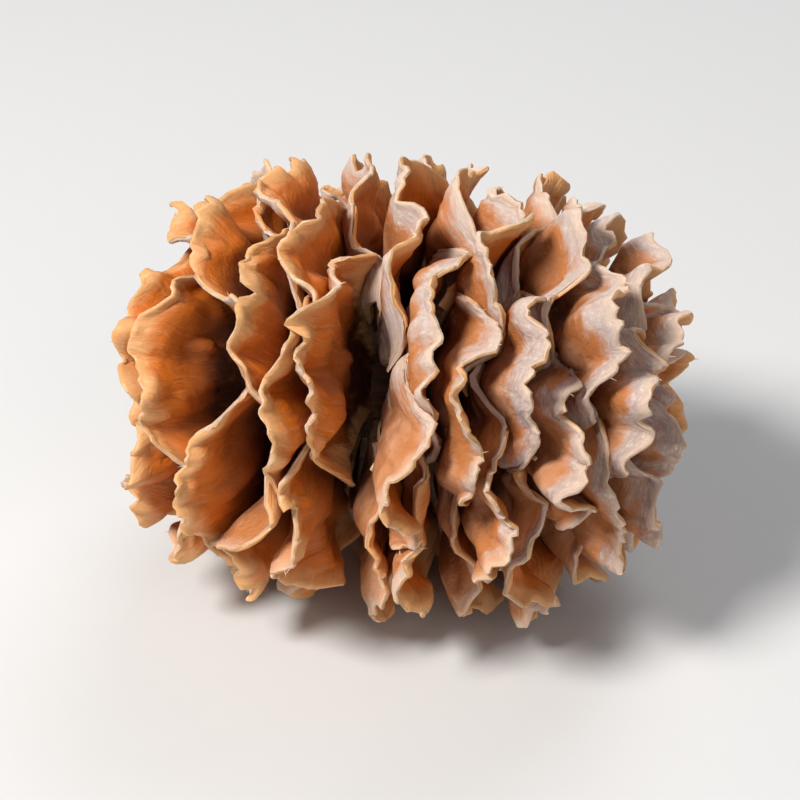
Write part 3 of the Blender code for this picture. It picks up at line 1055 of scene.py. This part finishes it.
def bark_finish(colours):
    """The brown bark of the axis and the stalk, with lengthwise fibres."""
    finish = Finish("axis_bark")
    place = finish.node("ShaderNodeTexCoord").outputs["Object"]
    fibres = finish.noise(finish.stretched(place, (300.0, 2600.0, 2600.0)), 1.0, 5.0, 0.65)
    flecks = finish.noise(place, 900.0, 3.0)
    wood = finish.mix(finish.step(fibres, 0.36, 0.66), shade(colours.axis_brown, 0.4), colours.axis_brown)
    wood = finish.mix(finish.math("MULTIPLY", finish.step(flecks, 0.55, 0.7), 0.5), wood, colours.stalk_tan)
    finish.bump(fibres, 0.9, 0.0002)
    return finish.close(wood, 0.8)


def break_finish(colours):
    """The torn pale fibres where the stalk broke."""
    finish = Finish("broken_stalk")
    place = finish.node("ShaderNodeTexCoord").outputs["Object"]
    fibres = finish.noise(finish.stretched(place, (500.0, 4200.0, 4200.0)), 1.0, 4.0, 0.65)
    wood = finish.mix(finish.step(fibres, 0.34, 0.66), shade(colours.stalk_tan, 0.35), colours.stalk_tan)
    finish.bump(fibres, 0.9, 0.00015)
    return finish.close(wood, 0.75)


def bract_finish(colours):
    """The thin papery bracts, paler towards their points."""
    finish = Finish("papery_bract")
    place = finish.attribute("grain_place")
    split = finish.node("ShaderNodeSeparateXYZ", links={"Vector": finish.attribute("blade_shares")})
    ribs = finish.noise(finish.stretched(place, (6.0, 0.4, 1.0)), 1.0, 3.0)
    wood = finish.ramp(split.outputs["X"], [
        (0.20, shade(colours.bract_straw, 0.35)),
        (0.75, colours.bract_straw),
        (1.00, colours.margin_cream),
    ])
    wood = finish.mix(finish.math("MULTIPLY", finish.step(ribs, 0.45, 0.7), 0.5), wood, shade(colours.bract_straw, 0.5))
    finish.bump(ribs, 0.5, 0.0001)
    return finish.close(wood, 0.6)


def floor_finish(colours):
    """The plain pale floor."""
    finish = Finish("pale_floor")
    place = finish.node("ShaderNodeTexCoord").outputs["Object"]
    grain = finish.noise(place, 400.0, 2.0)
    paint = finish.mix(grain, shade(colours.floor_white, 0.985), colours.floor_white)
    return finish.close(paint, 0.7)


def length_property(name, description, default):
    return bpy.props.FloatProperty(
        name=name, description=description, default=default, min=0.0, precision=5, subtype="DISTANCE", unit="LENGTH"
    )


def colour_property(name, description, default):
    return bpy.props.FloatVectorProperty(
        name=name, description=description, default=default, min=0.0, max=1.0, size=3, subtype="COLOR"
    )


class LarchConeSizes(bpy.types.PropertyGroup):
    """Sizes of the fine form of the cone, in metres."""

    root_thickness: length_property("Root thickness", "Thickness of a scale near the axis", 0.00078)
    margin_thickness: length_property("Margin thickness", "Thickness of a scale just inside its margin", 0.00028)
    edge_radius: length_property("Edge radius", "Distance over which a free edge rounds off", 0.00018)
    crinkle: length_property("Pleats", "Height of the pleats along a margin", 0.00027)
    crumple: length_property("Crumples", "Height of the fine crumples along a margin", 0.00012)
    relief: length_property("Unevenness", "Height of the broad unevenness of a face", 0.00026)
    seed_hollow: length_property("Seed hollows", "Depth of the two hollows where the seeds lay", 0.00015)
    lobe_depth: length_property("Lobes", "Depth of the broad lobes of a margin", 0.00030)
    nibble_depth: length_property("Nibbles", "Depth of the fine fraying of a margin", 0.00022)
    notch_depth: length_property("Notches", "Depth of the deepest splits in a margin", 0.00120)
    bract_width: length_property("Bract width", "Width of a bract at its base", 0.0016)
    stalk_radius: length_property("Stalk radius", "Radius of the broken stalk", STALK_RADIUS)


class LarchConeColours(bpy.types.PropertyGroup):
    """Colours of the cone's woods and of the floor."""

    # Painted shade: the near-black colour of the inner faces deep between the scales.
    inner_painted_shade: colour_property("Inner face, deep", "Colour deep between the scales", (0.040, 0.007, 0.003))
    inner_orange: colour_property("Inner face", "Colour of the middle of an inner face", (0.72, 0.185, 0.014))
    inner_pale: colour_property("Inner face, margin", "Colour of an inner face at its margin", (0.84, 0.47, 0.20))
    inner_brown: colour_property("Inner face, duller", "Tint of the duller inner faces", (0.74, 0.60, 0.52))
    # Partly the real red-brown low on an outer face and partly painted shade deep between the scales; also the tone of
    # the dark streaks.
    outer_red_brown_and_shade: colour_property("Outer face, deep", "Colour of an outer face near its root", (0.080, 0.022, 0.008))
    outer_tan: colour_property("Outer face", "Colour of the middle of an outer face", (0.53, 0.195, 0.060))
    outer_pink: colour_property("Outer face, rosy", "Pinkish tan of an outer face", (0.74, 0.40, 0.235))
    weathered_grey: colour_property("Weathered grey", "Darker grey of the weathered band", (0.46, 0.38, 0.35))
    # Also the colour of the painted light on the top of the cone.
    weathered_pale: colour_property("Weathered pale", "Pale grains of the weathered band", (0.76, 0.69, 0.63))
    weathered_lilac: colour_property("Weathered lilac", "Cool patches of the weathered band", (0.36, 0.30, 0.34))
    margin_cream: colour_property("Margin", "Colour of the thin pale edge of a scale", (0.86, 0.62, 0.42))
    bract_straw: colour_property("Bract", "Colour of the papery bracts", (0.62, 0.42, 0.24))
    axis_brown: colour_property("Axis", "Colour of the bark of the axis", (0.16, 0.07, 0.035))
    stalk_tan: colour_property("Broken stalk", "Colour of the torn fibres of the stalk", (0.55, 0.36, 0.20))
    floor_white: colour_property("Floor", "Colour of the pale floor", (0.72, 0.73, 0.74))


class LARCH_CONE_OT_add_scales(bpy.types.Operator):
    """Add the large scales, in groups that follow the spiral from the stalk to the tip"""

    bl_idname = "larch_cone.add_scales"
    bl_label = "Add scales"

    def execute(self, context):
        sizes = context.scene.larch_cone_sizes
        finishes = scale_finishes(context)
        scales = cone_scales(sizes)
        for group in range(SCALE_GROUPS):
            members = scales[group * GROUP_SIZE : (group + 1) * GROUP_SIZE]
            piece = make_blades(f"scales_{group + 1}", members, sizes, BLADE_COLUMNS, BLADE_ROWS, finishes)
            hand_over(piece)
        return {"FINISHED"}


class LARCH_CONE_OT_add_end_scales(bpy.types.Operator):
    """Add the small crowded scales round the stalk and at the tip"""

    bl_idname = "larch_cone.add_end_scales"
    bl_label = "Add end scales"

    def execute(self, context):
        sizes = context.scene.larch_cone_sizes
        finishes = scale_finishes(context)
        for name, scales in (("base_scales", base_scales()), ("tip_scales", tip_scales())):
            hand_over(make_blades(name, scales, sizes, SMALL_COLUMNS, SMALL_ROWS, finishes))
        return {"FINISHED"}


class LARCH_CONE_OT_add_bracts(bpy.types.Operator):
    """Add the thin pointed bract under each scale"""

    bl_idname = "larch_cone.add_bracts"
    bl_label = "Add bracts"

    def execute(self, context):
        sizes = context.scene.larch_cone_sizes
        finish = finish_named("papery_bract", bract_finish, context)
        hand_over(make_bracts("bracts", cone_scales(sizes), sizes, finish))
        return {"FINISHED"}


class LARCH_CONE_OT_add_margin_fibres(bpy.types.Operator):
    """Add the stiff pale fibres at the frayed margins of the scales"""

    bl_idname = "larch_cone.add_margin_fibres"
    bl_label = "Add margin fibres"

    def execute(self, context):
        sizes = context.scene.larch_cone_sizes
        piece = make_margin_fibres("margin_fibres", cone_scales(sizes), sizes)
        hand_over(piece, [finish_named("pale_fibre", fibre_finish, context)])
        return {"FINISHED"}


class LARCH_CONE_OT_add_axis(bpy.types.Operator):
    """Add the woody axis that carries the scales"""

    bl_idname = "larch_cone.add_axis"
    bl_label = "Add axis"

    def execute(self, context):
        piece = turned_rod("axis", AXIS_STATIONS, AXIS_SIDES)
        roughen(piece, AXIS_ROUGHNESS, AXIS_BUMP_LENGTH)
        hand_over(piece, [finish_named("axis_bark", bark_finish, context)])
        return {"FINISHED"}


class LARCH_CONE_OT_add_stalk(bpy.types.Operator):
    """Add the short stub of the stalk with its torn end"""

    bl_idname = "larch_cone.add_stalk"
    bl_label = "Add stalk"

    def execute(self, context):
        radius = context.scene.larch_cone_sizes.stalk_radius
        bark = finish_named("axis_bark", bark_finish, context)
        torn = finish_named("broken_stalk", break_finish, context)
        piece = make_stub("stalk_stub", radius)
        hand_over(piece, [bark, torn])
        splinters = make_splinters("stalk_fibres", radius)
        hand_over(splinters, [torn])
        return {"FINISHED"}


class LARCH_CONE_OT_add_stage(bpy.types.Operator):
    """Add the floor, the soft lights and the camera"""

    bl_idname = "larch_cone.add_stage"
    bl_label = "Add stage"

    def execute(self, context):
        put_down()
        bpy.ops.mesh.primitive_circle_add(vertices=96, radius=FLOOR_RADIUS, fill_type="NGON")
        floor = context.active_object
        floor.name = "floor"
        floor.data.materials.append(finish_named("pale_floor", floor_finish, context))
        for name, azimuth, elevation, distance, size, power, tint in LIGHTS:
            away = outward(azimuth, elevation)
            bpy.ops.object.light_add(type="AREA", location=AIM + away * distance)
            light = context.active_object
            light.name = name
            light.data.shape = "DISK"
            light.data.size = size
            light.data.energy = power
            light.data.color = tint
            light.rotation_euler = (-away).to_track_quat("-Z", "Y").to_euler()
        world = bpy.data.worlds.new("pale_studio")
        world.use_nodes = True
        sky = world.node_tree.nodes["Background"]
        sky.inputs["Color"].default_value = (0.98, 0.98, 1.0, 1.0)
        sky.inputs["Strength"].default_value = SKY_STRENGTH
        context.scene.world = world
        away = outward(CAMERA_AZIMUTH, CAMERA_ELEVATION)
        bpy.ops.object.camera_add(location=AIM + away * CAMERA_DISTANCE)
        camera = context.active_object
        camera.name = "camera"
        camera.rotation_euler = (-away).to_track_quat("-Z", "Y").to_euler()
        camera.data.lens = CAMERA_LENS
        camera.data.clip_start = 0.001
        camera.data.clip_end = 20.0
        context.scene.camera = camera
        context.scene.view_settings.view_transform = "Standard"
        put_down()
        return {"FINISHED"}


class LARCH_CONE_PT_sidebar(bpy.types.Panel):
    """Lists the steps that build the cone, with its sizes and colours"""

    bl_idname = "LARCH_CONE_PT_sidebar"
    bl_label = "Larch cone"
    bl_space_type = "VIEW_3D"
    bl_region_type = "UI"
    bl_category = "Larch cone"

    def draw(self, context):
        for step in STEPS:
            self.layout.operator(step.bl_idname)
        for group in (context.scene.larch_cone_sizes, context.scene.larch_cone_colours):
            box = self.layout.box()
            for name in group.__annotations__:
                box.prop(group, name)


STEPS = (
    LARCH_CONE_OT_add_axis,
    LARCH_CONE_OT_add_stalk,
    LARCH_CONE_OT_add_scales,
    LARCH_CONE_OT_add_end_scales,
    LARCH_CONE_OT_add_bracts,
    LARCH_CONE_OT_add_margin_fibres,
    LARCH_CONE_OT_add_stage,
)
CLASSES = (LarchConeSizes, LarchConeColours, *STEPS, LARCH_CONE_PT_sidebar)


def register():
    for entry in CLASSES:
        bpy.utils.register_class(entry)
    bpy.types.Scene.larch_cone_sizes = bpy.props.PointerProperty(type=LarchConeSizes)
    bpy.types.Scene.larch_cone_colours = bpy.props.PointerProperty(type=LarchConeColours)


def unregister():
    del bpy.types.Scene.larch_cone_colours
    del bpy.types.Scene.larch_cone_sizes
    for entry in reversed(CLASSES):
        bpy.utils.unregister_class(entry)


def main():
    register()
    bpy.ops.larch_cone.add_axis()
    bpy.ops.larch_cone.add_stalk()
    bpy.ops.larch_cone.add_scales()
    bpy.ops.larch_cone.add_end_scales()
    bpy.ops.larch_cone.add_bracts()
    bpy.ops.larch_cone.add_margin_fibres()
    bpy.ops.larch_cone.add_stage()


if __name__ == "__main__":
    main()
